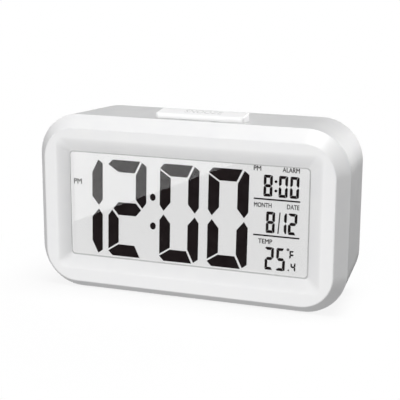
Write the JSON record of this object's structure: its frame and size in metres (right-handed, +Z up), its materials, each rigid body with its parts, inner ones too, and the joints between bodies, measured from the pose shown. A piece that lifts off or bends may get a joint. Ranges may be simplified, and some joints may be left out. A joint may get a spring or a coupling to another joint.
{
  "type": "alarm clock",
  "caption": "Desk alarm clock with a rounded white bezel around an LCD, a press bar on top, and keys, a slide switch and a hinged battery door at the back.",
  "frame": {"origin": "middle of the footprint on the table, under the rubber feet", "axes": "+X to the right seen from the front, +Y from the front to the back, +Z up"},
  "size_m": [0.135, 0.0462, 0.0794],
  "materials": {
    "white_plastic": "satin",
    "grey_plastic": "fine satin",
    "clear_pane": "polished",
    "lcd_glass": "polished",
    "lcd_dark": "flat",
    "light_guide": "frosted",
    "white_film": "flat",
    "frame_plastic": "moulded",
    "circuit_board": "solder mask",
    "led": "moulded",
    "zebra_rubber": "flat",
    "epoxy": "cast",
    "plated_steel": "plated",
    "capacitor_can": "drawn",
    "foot_rubber": "flat",
    "black_plastic": "moulded",
    "ribbon": "flat",
    "bead": "dipped",
    "brass": "rolled",
    "ceramic": "silvered",
    "lead": "moulded",
    "cell_sleeve": "printed sleeve"
  },
  "bodies": {
    "clock": {"front_bezel": "white_plastic", "rear_housing": "grey_plastic", "display_window": "clear_pane", "lcd_front_glass": "lcd_glass", "lcd_rear_glass": "lcd_glass", "lcd_segments": "lcd_dark", "light_guide": "light_guide", "reflector_sheet": "white_film", "lcd_frame": "frame_plastic", "main_board": "circuit_board", "backlight_board": "circuit_board", "snooze_board": "circuit_board", "key_board": "circuit_board", "backlight_leds": "led", "zebra_strip": "zebra_rubber", "clock_chip": "epoxy", "quartz_crystal": "plated_steel", "board_screws": "plated_steel", "case_screws": "plated_steel", "snooze_board_screws": "plated_steel", "key_board_screws": "plated_steel", "contact_plates": "plated_steel", "contact_springs": "plated_steel", "capacitors": "capacitor_can", "rubber_feet": "foot_rubber", "snooze_switch": "black_plastic", "key_switches": "black_plastic", "alarm_switch_case": "black_plastic", "snooze_ribbon": "ribbon", "key_ribbon": "ribbon", "thermistor": "bead", "buzzer_plate": "brass", "buzzer_ceramic": "ceramic", "buzzer_leads": "lead", "battery_leads": "lead", "battery_cell_1": "cell_sleeve", "battery_cell_2": "cell_sleeve", "battery_cell_3": "cell_sleeve"},
    "snooze": {"snooze_button": "white_plastic", "snooze_plunger": "black_plastic"},
    "alarm_knob": {"alarm_switch_knob": "black_plastic", "alarm_switch_lever": "black_plastic"},
    "door": {"battery_door": "grey_plastic"},
    "mode": {"mode_key": "white_plastic", "mode_plunger": "black_plastic"},
    "set": {"set_key": "white_plastic", "set_plunger": "black_plastic"},
    "up": {"up_key": "white_plastic", "up_plunger": "black_plastic"},
    "down": {"down_key": "white_plastic", "down_plunger": "black_plastic"}
  },
  "joints": [
    {"name": "snooze_press", "type": "slide", "parent": "clock", "child": "snooze", "axis": [0, 0, -1], "range_m": [0, 0.0007], "stiffness_N_per_m": 800, "springref_m": -0.002},
    {"name": "mode_press", "type": "slide", "parent": "clock", "child": "mode", "axis": [0, -1, 0], "range_m": [0, 0.0006], "stiffness_N_per_m": 600, "springref_m": -0.002},
    {"name": "set_press", "type": "slide", "parent": "clock", "child": "set", "axis": [0, -1, 0], "range_m": [0, 0.0006], "stiffness_N_per_m": 600, "springref_m": -0.002},
    {"name": "up_press", "type": "slide", "parent": "clock", "child": "up", "axis": [0, -1, 0], "range_m": [0, 0.0006], "stiffness_N_per_m": 600, "springref_m": -0.002},
    {"name": "down_press", "type": "slide", "parent": "clock", "child": "down", "axis": [0, -1, 0], "range_m": [0, 0.0006], "stiffness_N_per_m": 600, "springref_m": -0.002},
    {"name": "alarm_slide", "type": "slide", "parent": "clock", "child": "alarm_knob", "axis": [-1, 0, 0], "range_m": [0, 0.0025]},
    {"name": "door_swing", "type": "hinge", "parent": "clock", "child": "door", "pos_m": [0, 0.0219, 0.00985], "axis": [-1, 0, 0], "range_deg": [0, 70]}
  ]
}
